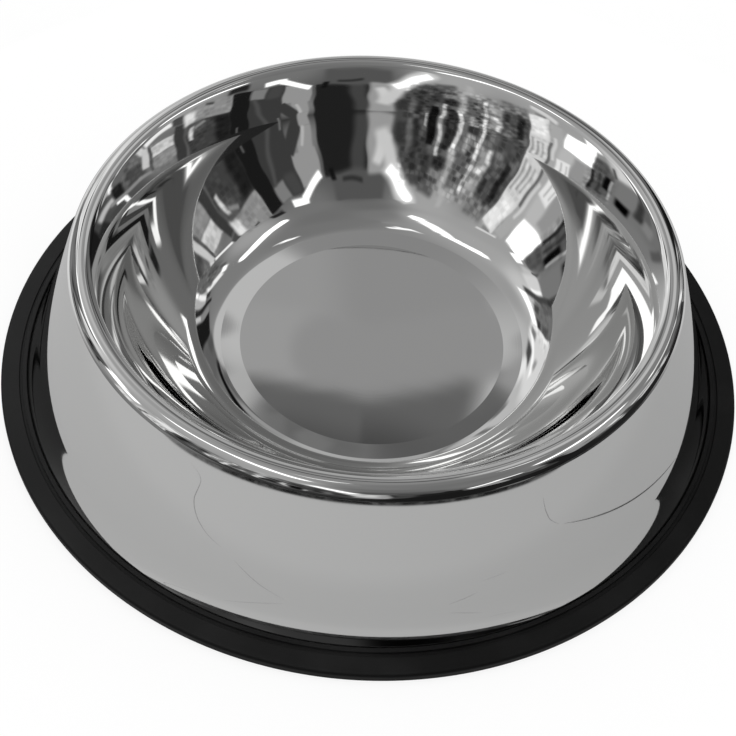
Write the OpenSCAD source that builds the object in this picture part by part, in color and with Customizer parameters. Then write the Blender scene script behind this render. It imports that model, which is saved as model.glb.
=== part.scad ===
// Low dog bowl that is hard to tip over: one sheet of stainless steel, pressed down into
// the dish and turned over at the rim into a wide skirt, standing on a rubber ring.
// The origin is the centre of the ring's underside, with +Z up.

/* [Overall] */
// Diameter over the rubber ring, the widest part
base_d = 253.5; // [235:0.5:300]
// Height of the rim's highest line above the surface the bowl stands on
bowl_h = 54.5; // [48:0.5:68]
// Diameter of the rim's highest line
rim_d = 189; // [170:1:205]

/* [Steel sheet] */
// Thickness of the sheet
sheet_t = 0.7; // [0.5:0.1:1.2]
// Outside radius of the turned rim
rim_r = 4.8; // [3.5:0.1:6]
// Radius of the long hollow flare in the lower part of the skirt
flare_r = 50; // [40:1:60]
// Angle that the flare turns through, before it runs in under the rubber lip
flare_turn = 14; // [6:1:20]
// Radius of the hem that turns the flare out into the flange
hem_r = 2.9; // [2.7:0.1:4]
// Width of the flat flange that the rubber ring grips
flange_w = 2.7; // [2:0.1:4]

/* [Inside of the dish] */
// Height of the dish's floor above the surface the bowl stands on
floor_h = 6.5; // [4:0.5:14]
// Radius between the floor and the wall
corner_r = 25.5; // [14:0.5:34]
// Radius of the hollow part of the wall
wall_r = 91; // [75:1:160]
// Steepest slope of the wall, at its waist, in degrees from level
waist_slope = 65; // [60:1:74]
// Drop from the rim's highest line to the waist
waist_drop = 14.5; // [12:0.5:18]
// Step in from the rim's highest line to the waist
waist_in = 12.3; // [11:0.1:15]

/* [Rubber ring] */
// Rubber outside the edge of the flange
ring_wall = 3.7; // [3:0.1:6]
// Thickness of the sole that the flange rests on
sole_t = 1.8; // [1.5:0.1:4]
// How far the sole reaches in, past the flat of the flange
sole_reach = 5; // [1:0.1:6]
// Thickness of the lip that lies on the flange
lip_t = 1.8; // [1.6:0.1:2.4]
// How far the lip reaches in, over the hem
lip_reach = 2.3; // [1.5:0.1:2.4]
// Width of the bead along the lip's inner edge
bead_w = 1.4; // [1:0.1:2]
// Width of the groove between the bead and the bumper
groove_w = 1.1; // [0.7:0.1:1.5]
// Depth of the groove below the bead
groove_d = 1.1; // [0.9:0.1:1.3]
// Drop from the bead to the flat top of the bumper
bumper_drop = 0.6; // [0:0.1:0.8]
// Rounding of the ring's two outer edges
edge_r = 1.1; // [0.5:0.1:1.4]
// Rounding of the small moulded edges
small_r = 0.25; // [0.1:0.05:0.3]
// Clearance above and outside the flange in its slot
slot_fit = 0.1; // [0.05:0.05:0.2]

/* [Hidden] */
// Most that one step turns, in degrees, on a bend and on a rounded edge, and steps round the axis
bend_step = 5;
edge_step = 15;
round_steps = 180;

// Flange and hem, counted inwards from the outside of the ring
ring_out = base_d / 2;
flange_out = ring_out - ring_wall;
flange_in = flange_out - flange_w;
flange_top = sole_t + sheet_t;
hem_c = [flange_in, flange_top + hem_r];

// Rim circle, and the slope of the straight skirt, which touches it and runs into the flare
rim_c = [rim_d / 2, bowl_h - rim_r];
rim_to_hem = hem_c - rim_c;
skirt_slope = atan2(rim_to_hem[1], rim_to_hem[0])
    - asin((rim_r + flare_r - (flare_r - hem_r) * cos(flare_turn)) / norm(rim_to_hem));

// Flare, which runs into the hem
hem_slope = skirt_slope + flare_turn;
flare_c = hem_c + (flare_r - hem_r) * lean(hem_slope);

// Waist, where the hollow part of the wall below meets the swelling part above
waist = [rim_c[0] - waist_in, bowl_h - waist_drop];
wall_c = waist + wall_r * lean(waist_slope);

// Slope at which the corner runs into the wall, with the floor at its own height
corner_slope = acos((wall_c[1] - floor_h - corner_r) / (wall_r - corner_r));
corner_c = wall_c + (wall_r - corner_r) * [sin(corner_slope), -cos(corner_slope)];

// Swelling part of the wall, which starts at the waist and touches the rim circle
rim_to_waist = waist - rim_c;
shoulder_r = (rim_r * rim_r - rim_to_waist * rim_to_waist)
    / (2 * (rim_r - rim_to_waist * lean(waist_slope)));
shoulder_c = waist - shoulder_r * lean(waist_slope);
shoulder_to_rim = rim_c - shoulder_c;
rim_slope = atan2(-shoulder_to_rim[0], shoulder_to_rim[1]);

// Direction square to the sheet at a given slope, towards its polished side
function lean(slope) = [-sin(slope), cos(slope)];

// Points along a bend about c, after its first one: swelling at r > 0, hollow at r < 0
function bend(c, r, from, to) =
    let (steps = ceil(abs(to - from) / bend_step))
    [for (i = [1:steps]) c + r * lean(from + (to - from) * i / steps)];

// One face of the sheet, from the centre of the floor out to the edge of the flange.
// At depth 0 it is the polished face, and at depth sheet_t the face underneath.
function sheet_face(depth) = concat(
    [[0, floor_h - depth]],
    [corner_c + (corner_r + depth) * [0, -1]],
    bend(corner_c, -corner_r - depth, 0, corner_slope),
    bend(wall_c, -wall_r - depth, corner_slope, waist_slope),
    bend(shoulder_c, shoulder_r - depth, waist_slope, rim_slope),
    bend(rim_c, rim_r - depth, rim_slope, skirt_slope),
    [flare_c - (flare_r + depth) * lean(skirt_slope)],
    bend(flare_c, -flare_r - depth, skirt_slope, hem_slope),
    bend(hem_c, -hem_r - depth, hem_slope, 0),
    [[flange_out, flange_top - depth]]);

function reversed(list) = [for (i = [len(list) - 1:-1:0]) list[i]];
function unit(v) = v / norm(v);
function half_turn(a) = (a + 540) % 360 - 180;

// Arc that rounds the corner at p, between the corners before and after it
function round_corner(before, p, after, r) =
    let (
        u = unit(before - p),
        v = unit(after - p),
        half = acos(u * v) / 2,
        c = p + unit(u + v) * r / sin(half),
        from = p + u * r / tan(half) - c,
        to = p + v * r / tan(half) - c,
        start = atan2(from[1], from[0]),
        turn = half_turn(atan2(to[1], to[0]) - start),
        steps = ceil(abs(turn) / edge_step))
    [for (i = [0:steps]) let (a = start + turn * i / steps) c + r * [cos(a), sin(a)]];

// Outline of places and roundings, with each corner that has a rounding made an arc
function rounded(places, roundings) =
    let (n = len(places))
    [for (i = [0:n - 1])
        each roundings[i] == 0 ? [places[i]] :
            round_corner(places[(i + n - 1) % n], places[i], places[(i + 1) % n], roundings[i])];

// Dish, rim, skirt and flange, pressed from one sheet
module steel_bowl() {
    color("gainsboro")
        rotate_extrude($fn = round_steps)
            polygon(concat(sheet_face(0), reversed(sheet_face(sheet_t))));
}

// Moulded ring: sole underneath, bumper outside and a beaded lip over the hem
module rubber_ring() {
    sole_in = flange_in - sole_reach;
    lip_in = flange_in - lip_reach;
    bead_out = lip_in + bead_w;
    bumper_in = bead_out + groove_w;
    slot_top = flange_top + slot_fit;
    slot_out = flange_out + slot_fit;
    lip_top = slot_top + lip_t;
    groove_z = lip_top - groove_d;
    bumper_top = lip_top - bumper_drop;
    // The lip's underside follows the hem, one clearance above it
    seat_r = hem_r - slot_fit;
    seat_slope = -asin(lip_reach / seat_r);
    seat_z = hem_c[1] - seat_r * cos(seat_slope);
    outside = rounded(
        [[sole_in, 0], [ring_out, 0], [ring_out, bumper_top], [bumper_in, bumper_top],
            [bumper_in, groove_z], [bead_out, groove_z],
            [bead_out, lip_top], [lip_in, lip_top], [lip_in, seat_z]],
        [small_r, edge_r, edge_r, small_r,
            0, 0,
            small_r, small_r, 0]);
    slot = concat(
        bend(hem_c, -seat_r, seat_slope, 0),
        [[slot_out, slot_top], [slot_out, sole_t], [sole_in, sole_t]]);
    color("#1a1a1c")
        rotate_extrude($fn = round_steps)
            polygon(concat(outside, slot));
}

steel_bowl();
rubber_ring();
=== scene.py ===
# Stainless dog bowl with a rubber ring: finishes, floor, studio surroundings and camera
import math

import bpy
import numpy as np
from mathutils import Matrix, Vector


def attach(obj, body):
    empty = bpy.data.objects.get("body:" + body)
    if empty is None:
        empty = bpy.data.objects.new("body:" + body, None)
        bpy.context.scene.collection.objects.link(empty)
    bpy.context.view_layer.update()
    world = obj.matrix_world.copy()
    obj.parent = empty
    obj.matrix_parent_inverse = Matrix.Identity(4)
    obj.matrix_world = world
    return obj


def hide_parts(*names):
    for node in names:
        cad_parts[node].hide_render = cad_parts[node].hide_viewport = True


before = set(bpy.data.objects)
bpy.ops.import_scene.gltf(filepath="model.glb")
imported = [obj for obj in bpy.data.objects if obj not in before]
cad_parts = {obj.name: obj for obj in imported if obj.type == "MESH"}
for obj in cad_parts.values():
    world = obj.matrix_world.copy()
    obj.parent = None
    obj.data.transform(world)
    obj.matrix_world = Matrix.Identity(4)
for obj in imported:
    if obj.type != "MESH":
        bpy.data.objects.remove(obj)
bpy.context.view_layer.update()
mm = 0.001
tiny = 1e-7  # lengths below this count as none
print("frame loaded:", ", ".join(sorted(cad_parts)))


# sections and turned pieces

def lean(slope):
    # direction square to the sheet at a slope in degrees, towards its polished side
    return np.stack([-np.sin(np.radians(slope)), np.cos(np.radians(slope))], -1)


class Section:
    # outline in the plane of radius and height, with the surface's normal on both sides of each point

    def __init__(self):
        self.points, self.before, self.after = [], [], []

    def add(self, points, before, after):
        self.points.append(np.atleast_2d(points))
        self.before.append(np.atleast_2d(before))
        self.after.append(np.atleast_2d(after))

    def arrays(self):
        return (np.concatenate(part) for part in (self.points, self.before, self.after))


def turn(name, section, steps):
    # each point (r, z) of the outline at each angle a stands at (r sin a, r cos a, z); the outline is
    # closed, and it runs so that the solid lies on its right
    points, before, after = section.arrays()
    rings, angles = len(points), np.arange(steps) * 2 * math.pi / steps
    around = np.stack([np.sin(angles), np.cos(angles)], -1)
    pole = points[:, 0] < tiny
    start = np.concatenate([[0], np.cumsum(np.where(pole, 1, steps))])
    corners = np.concatenate([
        np.array([[0, 0, z]]) if atPole else np.column_stack([around * r, np.full(steps, z)])
        for (r, z), atPole in zip(points, pole)])

    def ids(ring, shift):
        return start[ring] + (0 if pole[ring] else (np.arange(steps) + shift) % steps)

    faces, normals = [], []
    for ring in range(rings):
        following = (ring + 1) % rings
        if pole[ring] and pole[following]:
            continue
        spots = [(ring, 0, after), (ring, 1, after), (following, 1, before), (following, 0, before)]
        # on the axis the two corners of a face are one
        spots = [s for s in spots if not (pole[s[0]] and s[1] == 1)]
        faces.append(np.stack([np.broadcast_to(ids(r, s), steps) for r, s, n in spots], -1))
        normals.append(np.stack([np.column_stack([
            n[r, 0] * np.roll(around, -s, 0), np.full(steps, n[r, 1])]) for r, s, n in spots], 1))
    loops = np.concatenate([f.ravel() for f in faces])
    sizes = np.concatenate([np.full(len(f), f.shape[1]) for f in faces])
    mesh = bpy.data.meshes.new(name)
    mesh.vertices.add(len(corners))
    mesh.vertices.foreach_set("co", corners.ravel())
    mesh.loops.add(len(loops))
    mesh.loops.foreach_set("vertex_index", loops)
    mesh.polygons.add(len(sizes))
    mesh.polygons.foreach_set("loop_start", np.concatenate([[0], np.cumsum(sizes)[:-1]]))
    mesh.polygons.foreach_set("use_smooth", np.ones(len(sizes), bool))
    mesh.update(calc_edges=True)
    mesh.validate()
    mesh.normals_split_custom_set(np.concatenate([n.reshape(-1, 3) for n in normals]))
    piece = bpy.data.objects.new(name, mesh)
    bpy.context.scene.collection.objects.link(piece)
    return piece


# steel bowl

# lengths in metres, slopes and turns in degrees
bowl = {
    "baseD": 253.5 * mm, "bowlH": 54.5 * mm, "rimD": 189 * mm, "sheetT": 0.7 * mm, "rimR": 4.8 * mm,
    "flareR": 50 * mm, "flareTurn": 14, "hemR": 2.9 * mm, "flangeW": 2.7 * mm,
    "ringWall": 3.7 * mm, "soleT": 1.8 * mm,
    "floorH": 6.5 * mm, "cornerR": 25.5 * mm, "wallR": 91 * mm, "satinOut": 52.4 * mm, "satinLean": 10.5,
    "waistSlope": 65, "waistDrop": 14.5 * mm, "waistIn": 12.3 * mm,
    "degreesPerStep": 2, "floorSteps": 8, "skirtSteps": 6, "stepsAround": 320,
}


def slopeOf(v):
    return math.degrees(math.atan2(v[1], v[0]))


def bowlArcs(b):
    # centres, radii and slopes of the sheet's bends, from the floor of the dish out to the flange:
    # every bend touches the next one, so the polished face has no kink
    flangeIn = b["baseD"] / 2 - b["ringWall"] - b["flangeW"]
    hemC = np.array([flangeIn, b["soleT"] + b["sheetT"] + b["hemR"]])
    rimC = np.array([b["rimD"] / 2, b["bowlH"] - b["rimR"]])
    across = hemC - rimC
    reach = b["rimR"] + b["flareR"] - (b["flareR"] - b["hemR"]) * math.cos(math.radians(b["flareTurn"]))
    skirtSlope = slopeOf(across) - math.degrees(math.asin(reach / np.hypot(*across)))
    hemSlope = skirtSlope + b["flareTurn"]
    flareC = hemC + (b["flareR"] - b["hemR"]) * lean(hemSlope)
    waist = np.array([rimC[0] - b["waistIn"], b["bowlH"] - b["waistDrop"]])
    wallC = waist + b["wallR"] * lean(b["waistSlope"])
    cornerSlope = math.degrees(math.acos(
        (wallC[1] - b["floorH"] - b["cornerR"]) / (b["wallR"] - b["cornerR"])))
    cornerC = wallC - (b["wallR"] - b["cornerR"]) * lean(cornerSlope)
    toWaist = waist - rimC
    shoulderR = (b["rimR"] ** 2 - toWaist @ toWaist) / (2 * (b["rimR"] - toWaist @ lean(b["waistSlope"])))
    shoulderC = waist - shoulderR * lean(b["waistSlope"])
    toRim = rimC - shoulderC
    rimSlope = math.degrees(math.atan2(-toRim[0], toRim[1]))
    return [
        (cornerC, -b["cornerR"], 0, cornerSlope),
        (wallC, -b["wallR"], cornerSlope, b["waistSlope"]),
        (shoulderC, shoulderR, b["waistSlope"], rimSlope),
        (rimC, b["rimR"], rimSlope, skirtSlope),
        (flareC, -b["flareR"], skirtSlope, hemSlope),
        (hemC, -b["hemR"], hemSlope, 0),
    ]


def sheetFace(b, depth):
    # points of one face, with the slope before and after each: at depth 0 the polished face, at the
    # sheet's thickness the hidden one; a bend's points stand at its radius from its centre, square
    # to the slopes that it runs through
    arcs = bowlArcs(b)
    flangeOut = b["baseD"] / 2 - b["ringWall"]
    corner, start = arcs[0][0], arcs[0][2]
    if depth == 0:
        # a shallow cone rings the flat of the polished floor, out to where the satin ends
        start = math.degrees(math.asin((b["satinOut"] - corner[0]) / b["cornerR"]))
    floorRings = np.linspace(0, 1, b["floorSteps"] + 1) * corner[0]
    points = [np.column_stack([floorRings, 0 * floorRings + b["floorH"] - depth])]
    slopes = [0 * floorRings]
    if depth == 0:
        edge = corner - b["cornerR"] * lean(start)
        inner = corner - b["cornerR"] * lean(0)
        points.append([inner, edge])
        slopes.append([b["satinLean"], b["satinLean"]])
    for k, (c, r, first, end) in enumerate(arcs):
        first = start if k == 0 else first
        count = max(3, math.ceil(abs(end - first) / b["degreesPerStep"]))
        s = np.linspace(first, end, count + 1)
        points.append(c + (r - depth) * lean(s))
        slopes.append(s)
        if k == 3:
            # the straight skirt, from the rim down to the flare
            foot = arcs[4][0] + (arcs[4][1] - depth) * lean(end)
            t = np.linspace(0, 1, b["skirtSteps"] + 1)[1:-1, None]
            points.append(points[-1][-1] * (1 - t) + foot * t)
            slopes.append(np.full(len(t), end))
    points.append([[flangeOut, b["soleT"] + b["sheetT"] - depth]])
    slopes.append([0])
    points, slopes = np.concatenate(points), np.concatenate(slopes)
    # where two points fall together one stays, with the slope before it and the slope after it
    away = np.hypot(*np.diff(points, axis=0).T) > tiny
    return (points[np.concatenate([[True], away])], slopes[np.concatenate([[True], away])],
            slopes[np.concatenate([away, [True]])])


def makeBowl(b):
    # the polished face from the dish's middle out to the flange's edge, and the hidden face back
    section = Section()
    points, before, after = sheetFace(b, 0)
    before, after = lean(before), lean(after)
    after[-1] = (1, 0)
    section.add(points, before, after)
    points, after, before = (part[::-1] for part in sheetFace(b, b["sheetT"]))
    before, after = -lean(before), -lean(after)
    before[0] = (1, 0)
    section.add(points, before, after)
    piece = turn("steelBowl", section, b["stepsAround"])
    # the first half of the vertices lies on the polished face, the rest on the face underneath
    count = len(piece.data.vertices)
    under = piece.data.attributes.new("under", "FLOAT", "POINT")
    under.data.foreach_set("value", (np.arange(count) >= count // 2).astype(np.float32))
    return piece


steelBowl = makeBowl(bowl)
print("steel bowl:", len(steelBowl.data.polygons), "faces")


# rubber ring

# lengths in metres
ring = {
    "soleReach": 5 * mm, "lipT": 1.8 * mm, "lipReach": 2.3 * mm, "beadW": 1.4 * mm,
    "grooveW": 1.1 * mm, "grooveD": 1.1 * mm, "bumperDrop": 0.6 * mm,
    "edgeR": 1.1 * mm, "smallR": 0.25 * mm, "fineR": 0.12 * mm, "slotFit": 0.1 * mm,
    "degreesPerStep": 9, "seatSteps": 8, "stepsAround": 300,
}


def unit(v):
    return v / np.hypot(*v)


def roundedOutline(places, roundings, degreesPerStep):
    # each corner of the outline becomes an arc of its own rounding, or stays sharp at 0: the arc's
    # centre lies on the corner's middle line, at the rounding over the sine of half the angle
    section = Section()
    count = len(places)
    places = np.asarray(places, float)
    for i in range(count):
        p = places[i]
        u, v = unit(places[i - 1] - p), unit(places[(i + 1) % count] - p)
        # the solid lies on the right of the way round, so the outside normal is on the left
        before, after = np.array([u[1], -u[0]]), np.array([-v[1], v[0]])
        if roundings[i] == 0:
            section.add(p, before, after)
            continue
        half = math.acos(np.clip(u @ v, -1, 1)) / 2
        c = p + unit(u + v) * roundings[i] / math.sin(half)
        start, end = math.atan2(before[1], before[0]), math.atan2(after[1], after[0])
        swing = (end - start + math.pi) % (2 * math.pi) - math.pi
        steps = max(2, math.ceil(abs(math.degrees(swing)) / degreesPerStep))
        a = start + swing * np.linspace(0, 1, steps + 1)
        n = np.column_stack([np.cos(a), np.sin(a)])
        side = 1 if swing < 0 else -1
        section.add(c + side * roundings[i] * n, n, n)
    return section


def makeRing(b, g):
    # the section is a list of corners with their roundings: up the lip, out over the bead, the groove
    # and the bumper, back in under the sole, and out and in again along the slot; the lip's
    # underside is an arc that follows the hem
    ringOut = b["baseD"] / 2
    flangeOut = ringOut - b["ringWall"]
    flangeIn = flangeOut - b["flangeW"]
    flangeTop = b["soleT"] + b["sheetT"]
    soleIn = flangeIn - g["soleReach"]
    lipIn = flangeIn - g["lipReach"]
    beadOut = lipIn + g["beadW"]
    bumperIn = beadOut + g["grooveW"]
    slotTop = flangeTop + g["slotFit"]
    slotOut = flangeOut + g["slotFit"]
    lipTop = slotTop + g["lipT"]
    grooveZ = lipTop - g["grooveD"]
    bumperTop = lipTop - g["bumperDrop"]
    seatR = b["hemR"] - g["slotFit"]
    seatC = np.array([flangeIn, flangeTop + b["hemR"]])
    seat = np.linspace(-math.degrees(math.asin(g["lipReach"] / seatR)), 0, g["seatSteps"] + 1)
    seatPoints = seatC - seatR * lean(seat)
    corners = [
        (seatPoints[0], 0), ((lipIn, lipTop), g["smallR"]), ((beadOut, lipTop), g["smallR"]),
        ((beadOut, grooveZ), g["fineR"]), ((bumperIn, grooveZ), g["fineR"]),
        ((bumperIn, bumperTop), g["smallR"]), ((ringOut, bumperTop), g["edgeR"]),
        ((ringOut, 0), g["edgeR"]), ((soleIn, 0), g["smallR"]), ((soleIn, b["soleT"]), 0),
        ((slotOut, b["soleT"]), 0), ((slotOut, slotTop), 0)]
    corners += [(p, 0) for p in seatPoints[:0:-1]]
    outline = roundedOutline(*zip(*corners), g["degreesPerStep"])
    return turn("rubberRing", outline, g["stepsAround"])


rubberRing = makeRing(bowl, ring)
print("rubber ring:", len(rubberRing.data.polygons), "faces")


# materials

class Wire:
    # a socket that takes part in expressions: each operation adds its Math node

    def __init__(self, board, socket):
        self.board, self.socket = board, socket

    def maths(self, operation, *values, clamp=False):
        return self.board.add("ShaderNodeMath", {"operation": operation, "use_clamp": clamp},
                              dict(enumerate(values)))

    def __add__(self, other):
        return self.maths("ADD", self, other)

    def __sub__(self, other):
        return self.maths("SUBTRACT", self, other)

    def __rsub__(self, other):
        return self.maths("SUBTRACT", other, self)

    def __mul__(self, other):
        return self.maths("MULTIPLY", self, other)

    def __truediv__(self, other):
        return self.maths("DIVIDE", self, other)

    def __rtruediv__(self, other):
        return self.maths("DIVIDE", other, self)

    def __pow__(self, other):
        return self.maths("POWER", self, other)

    def __rpow__(self, other):
        return self.maths("POWER", other, self)

    __radd__ = __add__
    __rmul__ = __mul__

    def limited(self):
        # kept between 0 and 1
        return self.maths("ADD", self, 0, clamp=True)

    def step(self, low, high):
        # 0 at low and 1 at high, smooth between them
        return self.board.add("ShaderNodeMapRange", {"interpolation_type": "SMOOTHSTEP"},
                              {"Value": self, "From Min": low, "From Max": high})


class Board:
    # the node tree of one material or of the world

    def __init__(self, owner):
        owner.use_nodes = True
        self.tree = owner.node_tree
        self.tree.nodes.clear()

    def add(self, kind, settings=None, values=None, out=0):
        # a node of any type: its settings first, then the values or links of its sockets
        node = self.tree.nodes.new(kind)
        for name, value in (settings or {}).items():
            setattr(node, name, value)
        for name, value in (values or {}).items():
            if isinstance(value, Wire):
                self.tree.links.new(value.socket, node.inputs[name])
            else:
                node.inputs[name].default_value = value
        return Wire(self, node.outputs[out]) if node.outputs else None


class Place:
    # Object coordinates, together and one by one, and the distance from the bowl's axis

    def __init__(self, board):
        self.all = board.add("ShaderNodeTexCoord", None, None, "Object")
        parts = board.add("ShaderNodeSeparateXYZ", None, {0: self.all}).socket.node.outputs
        self.x, self.y, self.z = (Wire(board, part) for part in parts)
        self.radius = (self.x * self.x + self.y * self.y) ** 0.5


def material(name):
    made = bpy.data.materials.new(name)
    return made, Board(made)


def noise(board, where, scale, detail=2, roughness=0.5):
    return board.add("ShaderNodeTexNoise", None, {
        "Vector": where, "Scale": scale, "Detail": detail, "Roughness": roughness})


def grey(tone):
    return (tone, tone, tone, 1)


# roughness of the mirror and of the satin floor, and what grain, smudges and the face underneath add
# to it; heights of the sheet's waves and of the satin's fine lines; scales of the noises
steelFinish = {
    "tone": (0.76, 0.76, 0.755, 1), "mirror": 0.022, "satin": 0.018, "grain": 0.02, "smudge": 0.015,
    "under": 0.2, "underSmudge": 0.1, "wave": 0.006 * mm, "brush": 0.001 * mm,
    "grainScale": 900, "smudgeScale": 38, "smudgeAt": (0.35, 0.7), "waveScale": 22, "brushScale": 2600,
    "satinEdge": 0.1 * mm, "satinDown": (0.5 * mm, 0.2 * mm),
}


def makeSteel(f, b):
    made, board = material("polishedSteel")
    at = Place(board)
    # satin floor of the dish: inside its edge, and above the middle of the sheet
    inside = at.radius.step(b["satinOut"] + f["satinEdge"], b["satinOut"] - f["satinEdge"])
    low, high = (b["floorH"] - down for down in f["satinDown"])
    satin = inside * at.z.step(low, high)
    smudge = noise(board, at.all, f["smudgeScale"], detail=3).step(*f["smudgeAt"])
    grain = noise(board, at.all, f["grainScale"])
    roughness = f["mirror"] + smudge * f["smudge"] \
        + satin * (f["satin"] - f["mirror"] + grain * f["grain"])
    # the face underneath isn't polished
    under = board.add("ShaderNodeAttribute", {"attribute_name": "under"}, None, "Fac")
    roughness = roughness + under * (f["under"] + smudge * f["underSmudge"])
    wave = noise(board, at.all, f["waveScale"], detail=1)
    # fine turned lines on the satin floor, closer than the eye can part
    lines = noise(board, board.add("ShaderNodeCombineXYZ", None, {0: at.radius}), f["brushScale"])
    bump = board.add("ShaderNodeBump", None, {
        "Strength": 1.0, "Distance": 1.0,
        "Height": wave * f["wave"] + lines * satin * f["brush"]})
    shader = board.add("ShaderNodeBsdfPrincipled", None, {
        "Base Color": f["tone"], "Metallic": 1.0, "Roughness": roughness, "Normal": bump})
    board.add("ShaderNodeOutputMaterial", None, {"Surface": shader})
    return made


# tones of the clean rubber, of dust and of painted light, and of the outer wall's painted shade;
# roughness, and what patches add to it; height of the grain; shares of dust in patches and all over,
# and of painted light towards the left; where the shaded wall starts
rubberFinish = {
    "tone": 0.004, "dustAndLight": 0.018, "wall": 0.0015, "roughness": 0.5, "worn": 0.12, "gloss": 0.25,
    "grain": 0.02 * mm, "grainScale": 2400, "patchScale": 28, "patchAt": (0.42, 0.72),
    "dustPatches": 0.5, "dustAll": 0.2, "lightLeft": 0.45, "wallIn": (0.9 * mm, 0.2 * mm),
}


def makeRubber(f, b):
    made, board = material("blackRubber")
    at = Place(board)
    patches = noise(board, at.all, f["patchScale"], detail=4).step(*f["patchAt"])
    grain = noise(board, at.all, f["grainScale"], detail=3)
    # dust lies on the top in patches and all over; the left is lighter by painted light, and the outer
    # wall darker by painted shade
    dustAndLeftLight = (patches * f["dustPatches"] + f["dustAll"] - at.x / at.radius * f["lightLeft"]).limited()
    low, high = (b["baseD"] / 2 - back for back in f["wallIn"])
    tone = board.add("ShaderNodeMix", {"data_type": "RGBA"}, {
        "Factor": dustAndLeftLight, 6: grey(f["tone"]), 7: grey(f["dustAndLight"])}, 2)
    # painted shade: the outer wall takes a darker tone
    tone = board.add("ShaderNodeMix", {"data_type": "RGBA"}, {
        "Factor": at.radius.step(low, high), 6: tone, 7: grey(f["wall"])}, 2)
    bump = board.add("ShaderNodeBump", None, {
        "Strength": 1.0, "Distance": 1.0, "Height": grain * f["grain"]})
    shader = board.add("ShaderNodeBsdfPrincipled", None, {
        "Base Color": tone, "Roughness": f["roughness"] + patches * f["worn"],
        "Specular IOR Level": f["gloss"], "Normal": bump})
    board.add("ShaderNodeOutputMaterial", None, {"Surface": shader})
    return made


steelBowl.data.materials.append(makeSteel(steelFinish, bowl))
rubberRing.data.materials.append(makeRubber(rubberFinish, bowl))
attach(steelBowl, "root")
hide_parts("steel_bowl")
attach(rubberRing, "root")
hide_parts("rubber_ring")
print("finishes made")


# studio: a tent of light and dark panes round the bowl, a pale sheet on the floor with folds in it,
# and a dark card close to the rim

# a tone is what the steel shows on the screen, 0 black and 1 white: "steel" is how much of the light
# it gives back, and "level" is the plain light that falls on everything but a mirror
studio = {"gamma": 2.2, "steel": 0.75, "level": 0.9}

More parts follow.
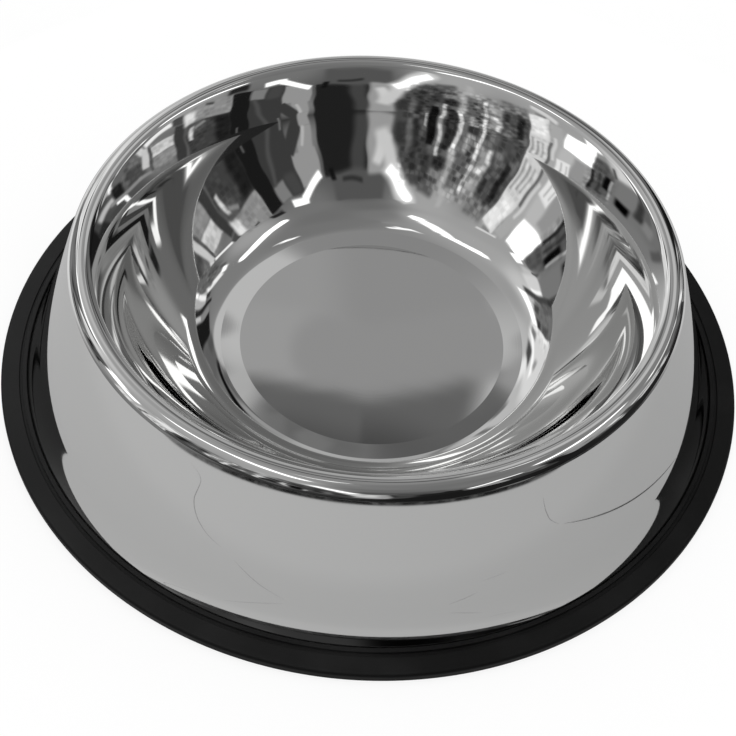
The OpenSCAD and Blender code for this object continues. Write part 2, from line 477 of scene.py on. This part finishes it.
# azimuth runs from +Y towards +X and elevation from the floor up, widths and heights are angles too;
# "spread" says how far a place of the base reaches, "uneven" by how much the edges swing, and "fade"
# how softly a zone of blocks ends
room = {
    "radius": 2.0, "step": 0.5, "fineTo": 60, "topRings": 18, "spread": 30, "uneven": (0.35, 0.5), "fade": 4,
    # base: azimuth, elevation and tone of places, joined with a smooth weight
    "base": [
        (-180, 75, 0.45), (-140, 70, 0.64), (-90, 60, 0.62), (-40, 58, 0.58), (0, 62, 0.50), (60, 75, 0.44),
        (120, 70, 0.42), (170, 65, 0.40), (45, 48, 0.47), (90, 44, 0.60), (130, 52, 0.44), (165, 45, 0.35),
        (-150, 50, 0.62), (-110, 48, 0.60), (-60, 45, 0.75), (-20, 45, 0.70), (12, 48, 0.66),
        (-170, 20, 0.28), (-145, 20, 0.40), (-125, 20, 0.28), (-100, 20, 0.70), (-75, 20, 0.42),
        (-50, 25, 0.38), (-25, 20, 0.70), (0, 15, 0.62), (20, 20, 0.42), (40, 15, 0.25), (60, 20, 0.36),
        (80, 15, 0.45), (100, 20, 0.26), (125, 20, 0.23), (140, 20, 0.5), (160, 25, 0.16), (176, 25, 0.55),
        (-172, 2, 0.2), (-140, 2, 0.2), (140, 2, 0.06), (165, 2, 0.04), (110, 2, 0.08), (-95, 2, 0.5),
        (60, 3, 0.3),
    ],
    # panes: azimuth, elevation, width, height, tilt, softness and tone, the later ones on top
    "panes": [
        # left back corner, seen on the right half of the back wall
        (-169, 26, 20, 32, 0, 3, .28), (-156, 24, 9, 40, 0, 3, .34), (-156, 35, 10, 3, 0, 2, .50),
        (-161, 16, 3.5, 14, 0, 1.5, .09), (-163.8, 13, 1.2, 7, 0, .8, .66), (-174, 21, 5, 10, 0, 3, .21),
        (-167, 25, 2.5, 22, 4, 2, .19), (-170.5, 20, 2, 18, 0, 2, .37), (-160, 33, 4, 12, 0, 3, .22),
        (-154.5, 30, 6, 5, 0, 2.5, .2), (-157, 19, 1.8, 17, 6, 1, .68), (-153, 17, 4.5, 14, 0, 1.5, .19),
        (-149.2, 17, 2, 14, -2, 1, .78), (-148.3, 33, 3, 22, 6, 2.5, .63), (-145.5, 43, 3, 8, 12, 2.5, .66),
        (-143.5, 24, 6.5, 26, 3, 2, .38), (-144.3, 17, 1.8, 8, 0, 1.5, .55), (-143.5, 11, 5, 5, 0, 2, .26),
        (-138.6, 23, 1.8, 30, 0, 1, .73), (-134, 26, 6, 24, 0, 1.8, .54), (-134.5, 25, 4, 4, 0, 2.5, .72),
        (-133, 18, 1.6, 6, 0, 1.2, .78), (-136, 32, 4, 4, 0, 2.5, .66), (-134, 11, 6.5, 8, 0, 2, .36),
        (-125, 37, 12, 9, 0, 3, .43), (-125, 20, 12, 28, 0, 2, .29), (-122.8, 24, 3, 17, 0, 1.8, .15),
        (-129, 29, 2.2, 6, 0, 1.5, .18), (-128.3, 17, 3, 7, 5, 2.5, .42), (-120.5, 15, 2, 6, 0, 2, .40),
        (-114, 22, 9, 34, 0, .8, .80), (-114.5, 32, 7, 14, 0, 3, .88), (-117, 15, 1.2, 14, 0, 1, .60),
        (-114.4, 15, 1.2, 12, 0, 1, .58), (-112, 15, 1, 12, 0, 1, .62), (-111.5, 41.8, 13, 3, 26, 1.8, .80),
        (-113.5, 39.8, 5, 1.3, 14, 1.2, .5), (-106.5, 21, 6, 32, 0, 2, .64),
        (-108.9, 15, 1.3, 18, 0, 1, .38), (-107, 20, 1.6, 16, 0, 1.2, .78),
        (-101.5, 10, 7, 10, 0, 1.2, .88), (-102.3, 10, .9, 7, 0, .7, .68), (-99.5, 9, .8, 7, 0, .7, .72),
        (-101, 19, 7, 8, 0, 3, .70), (-95, 29, 14.5, 11.5, 8, 1.2, 1.15), (-88, 36, 8, 6, -6, 2, 1.1),
        (-93, 14, 9, 15, 0, 2.5, .56),
        # left wall towards the back
        (-83, 18, 10, 24, 0, 2.5, .32), (-80.3, 18.5, 3.2, 8, 8, 2, .06), (-87.8, 15, 1.6, 14, 0, 1.2, .15),
        (-84, 16, 1.6, 12, 0, 1.5, .22), (-78.2, 16, 1.4, 13, 0, 1, .58), (-79, 5.8, 4.5, 2, 0, .8, 1.0),
        (-76, 34, 11, 12, -20, 5, .72), (-70, 33, 13, 14, 0, 4, .80), (-65.8, 32, 2.8, 11, 0, 1.8, .97),
        (-77.8, 28, 1.6, 5, -20, 1.5, .32), (-70, 21, 12, 11, 0, 4, .45), (-70.3, 13, 8, 4.4, 0, 3, .02),
        (-68, 6, 40, 6, 0, 4, .45), (-62, 30, 4.6, 30, 0, 3, .27), (-61.5, 18, 5, 8, 0, 3, .22),
        (-53, 26, 12, 24, 0, 3, .42), (-58, 24, 5, 14, 0, 3, .36), (-46, 34.5, 4.5, 4, 0, 2.5, .24),
        (-54, 36.5, 4.5, 4, 0, 2.5, .28), (-46.5, 27, 4.5, 7, 0, 3, .32), (-56, 15, 6, 5, 0, 3, .48),
        (-47, 11, 4, 6, 30, 2.5, .33), (-51, 43, 18, 6, 26, 2.5, 1.10), (-41, 3.6, 4, 2, 0, .8, 1.0),
        # back, left of the middle
        (-31, 30, 24, 26, 0, 3, .82), (-31.5, 36, 16, 3.2, 48, 2.5, .98),
        (-27.3, 39.8, 6.5, 6, 0, 3.5, .28), (-38.5, 39.5, 4.4, 4.4, 0, 2.5, .48),
        (-30.6, 30, 3.4, 3.4, 0, 2.5, .58), (-43, 30, 2.4, 20, 0, 1.5, .88), (-20, 38, 6, 9, -20, 3, .90),
        (-15, 28, 12, 20, 0, 5, .70), (-34, 19.5, 6, 2, 0, 2, .42), (-8.5, 40, 12, 9, -18, 2, .38),
        (-4, 37, 8, 12, 0, 3, .36), (-11.5, 35, 4, 9, 24, 2.5, .42), (-2.5, 34, 3, 9, 0, 2.5, .34),
        (-12.5, 22, 2, 7, 20, 1.8, .42), (-6.3, 25, 1.6, 13, 0, 1.5, .48),
        # back, right of the middle
        (8.5, 33.5, 18, 11, -8, 3, .38), (3, 24, 5, 9, 0, 3, .64), (10, 26, 8, 6, -30, 3, .56),
        (17.5, 27, 3.4, 15, 33, 2.2, .08), (25.5, 26, 9, 20, 0, 4, .36), (28, 33, 5, 6, 0, 3, .31),
        (26, 19, 5, 4, 0, 2.5, .45), (35.5, 18, 9.2, 34, 0, 1.8, .12), (34, 12, 6, 16, 35, 3, .10),
        (41.3, 27, 3.4, 16, 0, 1.5, .50), (41.5, 22, 2.2, 7, 0, 1.5, .74), (44.6, 28, 2.1, 19, 6, 1.2, .17),
        (49.3, 24, 6.5, 15, 0, 1.5, .66), (50.5, 27.5, 2.6, 10, -22, 1.6, .93),
        (53, 19.5, 3, 6, -8, 1.6, 1.0), (50, 33.5, 3.4, 3.4, 0, 2, .22), (56, 36, 4.6, 12, 33, 2.5, .92),
        (62.3, 41.4, 5.2, 3.6, 0, 2.4, 1.1), (61, 24, 13, 20, 0, 3, .38), (66, 38.5, 3, 4, 20, 2, .34),
        (55.8, 14.3, 5.5, 7, 0, 2, .14), (66, 15, 9, 8, 0, 3, .28), (65, 31, 9, 8, 0, 4, .34),
        (48.5, 11, 10, 3, -16, 2, .70), (62, 10, 22, 2, 0, 1.6, .52), (56.3, 8.4, 5, 1.6, 0, .8, 1.0),
        (58.8, 6, 2.2, 5, -12, .8, 1.0), (43, 5, 6, 5, -20, 2, .17), (52, 5.3, 8, 3, -10, 2, .27),
        # straight ahead, seen on the floor of the dish, and the dark thing above it
        (-0.5, 47, 20, 9, 0, 1.5, .53), (-7, 46.5, 8, 8, 0, 4, .565), (-0.2, 53.4, 21, 8.4, 0, 1, .37),
        (0, 55.8, 17, 3.4, 0, 3, .27),
        # right wall
        (78, 30, 13, 2.8, -24, 1.6, .92), (70, 25.4, 3.6, 4, -30, 1.6, .82), (80.5, 22, 12, 7, 0, 1, .74),
        (80.5, 19.4, 12, 2, 0, 1, .82), (80, 25.4, 10, 1.2, -4, .8, .44), (71.5, 20, 3.4, 12, 0, 1.4, .76),
        (74, 18, 1.4, 15, 0, .8, .32), (80.5, 14.5, 11, 7, 0, 2, .52), (87, 33, 5, 5, 0, 1.5, .28),
        (88, 18, 4.6, 24, 0, 1.4, .23), (102.5, 33.5, 18, 12.5, 0, 1, .53), (92.5, 31, 5, 8, 0, 2.5, .86),
        (100.2, 37.4, 4, 1.6, 6, 1.5, .28), (101.5, 16.5, 20, 22, 0, 1.5, .25), (95, 24, 8, 8, 0, 4, .33),
        (108, 16, 7, 22, 0, 3, .14), (93.5, 21, 2, 9, 0, 1.4, .76), (97, 24.8, 6, 1.8, -24, 1.5, .50),
        (112.6, 42, 8, 4.5, -6, 2.5, .15), (115.2, 22, 8, 34, 0, .8, .12), (126.5, 22, 14.5, 35, 0, 1, .23),
        (122.8, 35.5, 6.5, 8, 0, 1.6, .47), (129.8, 35, 6, 9, 0, 3, .27), (114, 10, .9, 7, 0, .8, .34),
        (132.4, 10.5, 1, 5, 0, .8, .42), (124, 20, 2, 24, -14, 2, .30), (140, 31, 12, 14, 0, 1, .56),
        (141.5, 20, 7.5, 12, 0, 1, .56), (137, 17, 5, 16, -32, 1, .23), (141.2, 17, 1.4, 10, -14, 1, .68),
        (143, 10, 4.5, 8, 0, 1, .56), (129, 42.6, 10, 3.2, -4, 1.4, 1.08),
        (138.5, 39.2, 15, 3.6, 25, 1.2, 1.12), (149, 34, 4, 10, 0, 2, .34), (159, 21, 22.5, 34, 0, 1, .14),
        (167, 26, 7, 26, -10, 4, .26), (165, 44, 30, 14, 0, 4, .32), (151.5, 37, 2.4, 5, 0, 1.5, .10),
        (162, 41, 12, 2, -8, 2, .20), (176.5, 26, 11, 26, 0, 3, .58), (177.5, 28, 5, 14, -20, 3, .78),
        (-179, 29, 6.5, 20, 24, 4, .76), (-170, 44, 24, 9, -45, 4, .78),
        (-170.5, 43.3, 20, 4.6, -40, 2, 1.15),
    ],
    # round ones: azimuth, elevation, width, height, softness and tone
    "rounds": [(20.5, 50, 22, 30, 3, .70)],
    # zones of small blocks: azimuth, elevation, width, height and the share their tone varies by
    "rough": [
        (-157, 26, 34, 32, .3), (-132, 24, 24, 34, .3), (-114, 24, 10, 34, .08), (101, 34, 20, 13, .12),
        (-50, 32, 22, 20, .1), (61, 24, 16, 26, .2), (10, 34, 20, 10, .15), (101, 16, 20, 22, .15),
        (-84, 18, 14, 22, .2), (80, 17, 14, 18, .12),
    ],
    # strokes: azimuth and elevation of places along the middle line, thickness, softness and tone
    "strokes": [
        (((-9.2, 49), (-4, 49.6)), 4, 1, .58),
        (((-3.5, 49.6), (0, 50.1), (4.6, 49.3), (7, 48.6), (9.6, 48.2)), 4, 1, .54),
        (((63, 52), (70, 54), (90, 54.4), (105, 54.2)), 4.4, 1.2, 1.25),
        (((48.5, 68.4), (52.5, 66.3)), 2.2, 1, 1.1),
        (((-144, 71.5), (-117, 74), (-97, 74.2), (-80, 73), (-74, 70.5), (-71.5, 67), (-71.5, 63.5)),
         4.4, 1.2, 1.25),
        (((-15, 81), (-30, 82), (-40, 80.5)), 2.4, 1, 1.1),
    ],
}


def soft(x, width):
    # 0 to 1 over a width about x = 0: the smooth step, 3 t squared less 2 t cubed
    t = np.clip(x / width + 0.5, 0, 1)
    return t * t * (3 - 2 * t)


def halfTurn(angle):
    # the same angle between -180 and 180
    return (angle + 180) % 360 - 180


def onDome(az, el, r=1):
    # (r cos el sin az, r cos el cos az, r sin el)
    a, e = np.radians(az), np.radians(el)
    return np.stack([r * np.cos(e) * np.sin(a), r * np.cos(e) * np.cos(a), r * np.sin(e)], -1)


def blocks(az, el):
    # courses of small blocks: the whole part of the rise tells the course and that of the way along
    # tells the block, both bent by slow sines; each block has a tone of its own between -1 and 1,
    # the fraction of a large sine, which fades out at the block's edges
    tall, wide, edge = 2.4, 2.6, 0.12
    rise = el / tall + 0.3 * np.sin(az / 6)
    course = np.floor(rise)
    along = az / wide + 0.37 * course + 0.4 * np.sin(el / 4)
    block = np.floor(along)
    chance = np.modf(np.abs(np.sin(course * 12.9898 + block * 78.233)) * 4375.85)[0] * 2 - 1
    inside = np.minimum(np.minimum(rise - course, course + 1 - rise),
                        np.minimum(along - block, block + 1 - along))
    return chance * soft(inside - edge, 2 * edge)


def fromStroke(where, places):
    # degrees from points of the dome to the nearest point of a line through places, piece by piece
    marks = onDome(*np.array(places, float).T)
    least = np.full(where.shape[:-1], np.inf)
    for start, end in zip(marks[:-1], marks[1:]):
        along = end - start
        t = np.clip((where - start) @ along / (along @ along), 0, 1)
        least = np.minimum(least, np.linalg.norm(where - start - t[..., None] * along, axis=-1))
    return np.degrees(least)


def roomTone(f, az, el):
    # the base is the mean of its places, each weighted by 1 over the square of its squared distance
    # plus the spread; over it go panes, round ones, blocks and strokes, each by its own share
    weights = shown = 0
    for a, e, tone in f["base"]:
        apart = (halfTurn(az - a) * np.cos(np.radians((el + e) / 2))) ** 2 + (el - e) ** 2
        weight = 1 / (apart + f["spread"]) ** 2
        weights = weights + weight
        shown = shown + weight * tone
    shown = shown / weights
    # edges run a little out of true
    swingAz, swingEl = f["uneven"]
    az2 = az + swingAz * np.sin(el / 2.3 + az / 5)
    el2 = el + swingEl * np.sin(az / 3.1 + el / 7)
    for a, e, wide, tall, tilt, softness, tone in f["panes"]:
        c, s = np.cos(np.radians(tilt)), np.sin(np.radians(tilt))
        x, y = halfTurn(az2 - a), el2 - e
        across, up = x * c - y * s, x * s + y * c
        share = soft(wide / 2 - abs(across), softness) * soft(tall / 2 - abs(up), softness)
        shown = shown + (tone - shown) * share
    for a, e, wide, tall, softness, tone in f["rounds"]:
        out = np.hypot(halfTurn(az2 - a) / wide, (el2 - e) / tall) * 2
        shown = shown + (tone - shown) * soft((1 - out) * min(wide, tall) / 2, softness)
    chance, fade = blocks(az, el), f["fade"]
    for a, e, wide, tall, most in f["rough"]:
        share = soft(wide / 2 - abs(halfTurn(az - a)), fade) * soft(tall / 2 - abs(el - e), fade)
        shown = shown * (1 + most * share * chance)
    where = onDome(az, el)
    for places, thick, softness, tone in f["strokes"]:
        shown = shown + (tone - shown) * soft(thick / 2 - fromStroke(where, places), softness)
    return shown


def toneToLight(tone):
    # tone to the power gamma, over the steel's share
    return tone ** studio["gamma"] / studio["steel"]


def gridFaces(rows, columns, closed):
    # four-sided faces between neighbours of a grid of points, on to the first column where closed
    r, c = np.meshgrid(np.arange(rows - 1), np.arange(columns if closed else columns - 1), indexing="ij")
    following = (c + 1) % columns
    return np.stack([r * columns + c, r * columns + following,
                     (r + 1) * columns + following, (r + 1) * columns + c], -1).reshape(-1, 4)


def stagePiece(name, points, faces, glow=None):
    mesh = bpy.data.meshes.new(name)
    mesh.from_pydata(points.tolist(), [], faces.tolist())
    if glow is not None:
        attribute = mesh.attributes.new("glow", "FLOAT", "POINT")
        attribute.data.foreach_set("value", glow.astype(np.float32))
    piece = bpy.data.objects.new(name, mesh)
    bpy.context.scene.collection.objects.link(piece)
    return piece


def glowMaterial(name):
    made, board = material(name)
    glow = board.add("ShaderNodeAttribute", {"attribute_name": "glow"}, None, "Fac")
    shader = board.add("ShaderNodeEmission", None, {"Strength": glow})
    board.add("ShaderNodeOutputMaterial", None, {"Surface": shader})
    made.cycles.emission_sampling = "NONE"
    return made


def onlyInSteel(piece):
    # mirrors see it, the camera and the plain light don't
    piece.visible_camera = piece.visible_diffuse = piece.visible_shadow = False
    piece.visible_volume_scatter = piece.visible_transmission = False


def rays(board):
    # 1 for rays from the camera, and 1 for rays off a mirror or through something clear
    seen, glossy, passed = (board.add("ShaderNodeLightPath", None, None, "Is %s Ray" % kind)
                            for kind in ("Camera", "Glossy", "Transmission"))
    return seen, glossy + passed


def makeTent(f):
    # half a sphere round the bowl, with the surroundings' tone at each point
    elevations = np.concatenate([np.arange(0, f["fineTo"], f["step"]),
                                 np.linspace(f["fineTo"], 90, f["topRings"])])
    az, el = np.meshgrid(np.arange(0, 360, f["step"]), elevations)
    faces = gridFaces(*az.shape, True)
    az, el = az.ravel(), el.ravel()
    piece = stagePiece("tent", onDome(az, el, f["radius"]), faces, toneToLight(roomTone(f, az, el)))
    piece.data.materials.append(glowMaterial("tentCloth"))
    onlyInSteel(piece)


# the pale sheet ends at "reach" at the sides, "frontMore" farther in front and "leftLess" nearer on
# the left, with a soft edge. Tones are "pale", "dark", "left" and "behind"; "paleLeft", "nearBowl" and
# "farRight" are the shares by which they change, "paleLeft" as painted light on the left and "nearBowl"
# as a painted shadow close to the bowl. A pair says where a change starts and ends: as a radius, or as
# the cosine of the angle from the front or from the left. "lift" is the share of the tone that the
# camera doesn't see, "own" the share that a mirror sees as the floor's own light
floor = {
    "radius": 6.0, "firstRing": 0.05, "rings": 60, "degrees": 3.0, "below": 0.1 * mm,
    "reach": 0.228, "edge": 0.0015, "frontFrom": 0.62, "frontPower": 1.3, "frontMore": 0.048,
    "leftLess": 0.018, "leftLessAt": (0.8, 0.95),
    "pale": 0.56, "paleLeft": 0.08, "nearBowl": 0.06, "nearBowlAt": (0.195, 0.165),
    "dark": 0.03, "plain": 0.5, "clutter": 3, "clutterScale": 45, "clutterAt": (0.42, 0.66),
    "left": 0.19, "leftAt": (0.5, 0.85), "behind": 0.66, "behindAt": (0.2, -0.35),
    "farRight": 0.85, "farAt": (0.35, 0.8), "rightAt": (0.5, -0.1),
    "white": 1.03, "lift": 0.6, "own": 0.5,
}


def makeFloor(f):
    # rings of points that grow outwards, just under the bowl
    radii = np.concatenate([[0], np.geomspace(f["firstRing"], f["radius"], f["rings"])])
    az, rr = np.meshgrid(np.arange(0, 360, f["degrees"]), radii)
    points = onDome(az.ravel(), 0 * az.ravel()) * rr.reshape(-1, 1) - [0, 0, f["below"]]
    piece = stagePiece("floor", points, gridFaces(*rr.shape, True))
    made, board = material("paleFloor")
    at = Place(board)
    left, front = at.x / at.radius * -1, at.y / at.radius * -1
    # the pale sheet has painted light, a little lighter on the left, and a painted shadow, a little darker
    # close to the bowl
    more = ((front - f["frontFrom"]) / (1 - f["frontFrom"])).limited() ** f["frontPower"]
    reach = f["reach"] + more * f["frontMore"] - left.step(*f["leftLessAt"]) * f["leftLess"]
    past = (at.radius - reach).step(-f["edge"], f["edge"])
    pale = f["pale"] * (1 + left * f["paleLeft"]) * (1 - at.radius.step(*f["nearBowlAt"]) * f["nearBowl"])
    # beyond it the floor is dark in front, half light on the left and light behind
    behind = front.step(*f["behindAt"])
    flat = board.add("ShaderNodeMapping", None, {"Vector": at.all, "Scale": (1, 1, 0)})
    clutter = noise(board, flat, f["clutterScale"], detail=3, roughness=0.6).step(*f["clutterAt"])
    far = f["dark"] * (f["plain"] + clutter * f["clutter"]) \
        + left.step(*f["leftAt"]) * f["left"] + behind * f["behind"]
    # and darkest far off on the right
    dim = at.radius.step(*f["farAt"]) * left.step(*f["rightAt"]) * (1 - behind) * f["farRight"]
    far = far * (1 - dim)
    tone = pale + past * (far - pale)
    # the camera sees white with the bowl's shadow on it, and the steel mirrors the tone
    seen, mirrored = rays(board)
    lit = tone * (1 - seen * f["lift"] - mirrored * f["own"])
    matt = board.add("ShaderNodeBsdfDiffuse", None, {
        "Color": board.add("ShaderNodeCombineColor", None, {0: lit, 1: lit, 2: lit})})
    white = board.add("ShaderNodeEmission", None, {
        "Strength": seen * (f["white"] - lit) + mirrored * tone * f["own"]})
    both = board.add("ShaderNodeAddShader", None, {0: matt, 1: white})
    # from below the floor is clear, so that the bowl's underside can be looked at
    below = board.add("ShaderNodeNewGeometry", None, None, "Backfacing")
    clear = board.add("ShaderNodeBsdfTransparent")
    sheet = board.add("ShaderNodeMixShader", None, {0: below, 1: both, 2: clear})
    board.add("ShaderNodeOutputMaterial", None, {"Surface": sheet})
    made.cycles.emission_sampling = "NONE"
    piece.data.materials.append(made)


# folds of the pale sheet: width, tone and places, in mm from the bowl's middle. "tip" is the angle
# that the sine of the width starts and ends with, and "laps" says how often corners are eased
# the folds' darker tones are painted shade along the creases of the sheet
folds = {
    "height": 0.2 * mm, "steps": 50, "laps": 6, "tip": 0.15,
    "lines": [
        (0.8, 0.52, ((-154, -168), (-148, -173), (-138, -174), (-130, -165), (-123, -157), (-114, -153),
                     (-105, -151), (-92, -151), (-81, -154))),
        (0.7, 0.57, ((-69, -154), (-58, -152), (-48, -150), (-32, -148))),
        (0.7, 0.5, ((148, -152), (137, -144), (129, -136), (125, -126))),
        (1.0, 0.28, ((125.5, -122), (126, -110), (126, -95), (125, -68), (124, -41))),
        (0.6, 0.55, ((46, -145), (54, -144), (63, -143))),
        (0.6, 0.57, ((70, -149), (77, -145), (84, -141))),
        # a broad light strip far off in front on the right
        (90, 0.42, ((215, -239), (300, -333), (400, -444))),
    ],
}


def makeFolds(f):
    # thin ribbons along the lines, as wide as a sine of the way along
    made = glowMaterial("foldLine")
    for k, (width, tone, places) in enumerate(f["lines"]):
        marks = np.array(places) * mm
        away = np.concatenate([[0], np.cumsum(np.hypot(*np.diff(marks, axis=0).T))])
        s = np.linspace(0, away[-1], f["steps"])
        middle = np.column_stack([np.interp(s, away, marks[:, 0]), np.interp(s, away, marks[:, 1])])
        for lap in range(f["laps"]):
            middle[1:-1] = (middle[:-2] + 2 * middle[1:-1] + middle[2:]) / 4
        along = np.gradient(middle, axis=0)
        along /= np.hypot(*along.T)[:, None]
        side = np.column_stack([-along[:, 1], along[:, 0]]) * width * mm / 2
        side *= np.sin(np.linspace(f["tip"], math.pi - f["tip"], f["steps"]))[:, None]
        points = np.stack([middle - side, middle + side], 1).reshape(-1, 2)
        points = np.column_stack([points, np.full(len(points), f["height"])])
        piece = stagePiece("fold%d" % (k + 1), points, gridFaces(f["steps"], 2, False),
                           np.full(len(points), toneToLight(tone)))
        piece.data.materials.append(made)
        onlyInSteel(piece)


# a dark card that stands close by on the right, in front of the rim: azimuth, bottom and top in mm,
# and tone, at places along it
card = {
    "radius": 0.14,
    "places": [
        (84, 50, 62, .22), (92, 49, 65, .16), (102, 48, 69, .15), (112, 45, 71, .15), (120, 44, 71, .15),
        (127, 46, 69, .14), (133, 50, 67, .13), (139, 52, 66, .12), (146, 50, 70, .13), (153, 46, 75, .13),
        (160, 43, 76, .12), (166, 43, 71, .12), (173, 47, 64, .12), (180, 50, 58, .16),
    ],
}


def makeCard(f):
    # a strip of a cylinder about the bowl's axis, a degree to a step, from the bottom to the top
    azimuth, bottom, top, tone = np.array(f["places"]).T
    az = np.arange(azimuth[0], azimuth[-1] + 1)
    low, high = (np.interp(az, azimuth, height) * mm for height in (bottom, top))
    foot, up = onDome(az, 0 * az, f["radius"]), [[0, 0, 1]]
    points = np.concatenate([foot + up * low[:, None], foot + up * high[:, None]])
    piece = stagePiece("darkCard", points, gridFaces(2, len(az), False),
                       np.tile(toneToLight(np.interp(az, azimuth, tone)), 2))
    piece.data.materials.append(glowMaterial("darkCloth"))
    onlyInSteel(piece)


def makeWorld(f):
    # 1 for the camera and for mirrors, and the plain light's level for the rest
    world = bpy.data.worlds.new("studio")
    bpy.context.scene.world = world
    board = Board(world)
    seen, mirrored = rays(board)
    strength = (seen + mirrored).limited() * (1 - f["level"]) + f["level"]
    shader = board.add("ShaderNodeBackground", None, {"Color": (1, 1, 1, 1), "Strength": strength})
    board.add("ShaderNodeOutputWorld", None, {"Surface": shader})


makeFloor(floor)
makeFolds(folds)
makeCard(card)
makeTent(room)
makeWorld(studio)
print("studio made")


# camera

# place, angles in degrees, focal length and width of the frame in pixels, and sensor in mm
view = {
    "place": (-0.627 * mm, -297.49 * mm, 344.759 * mm), "elevation": 50.0, "roll": 4.366,
    "focal": 1291.56, "frame": 736, "sensor": 36, "clip": (0.01, 50),
}


def makeCamera(v):
    # it looks along +Y and down by the elevation, and is rolled about the way it looks
    e, r = math.radians(v["elevation"]), math.radians(v["roll"])
    back = Vector((0, -math.cos(e), math.sin(e)))
    right, up = Vector((1, 0, 0)), Vector((0, math.sin(e), math.cos(e)))
    across = math.cos(r) * right + math.sin(r) * up
    above = -math.sin(r) * right + math.cos(r) * up
    data = bpy.data.cameras.new("camera")
    data.sensor_width = v["sensor"]
    data.lens = v["focal"] / v["frame"] * v["sensor"]
    data.clip_start, data.clip_end = v["clip"]
    camera = bpy.data.objects.new("camera", data)
    turned = Matrix((across, above, back)).transposed().to_4x4()
    camera.matrix_world = Matrix.Translation(v["place"]) @ turned
    bpy.context.scene.collection.objects.link(camera)
    bpy.context.scene.camera = camera


makeCamera(view)
bpy.context.scene.view_settings.view_transform = "Standard"
print("camera placed")
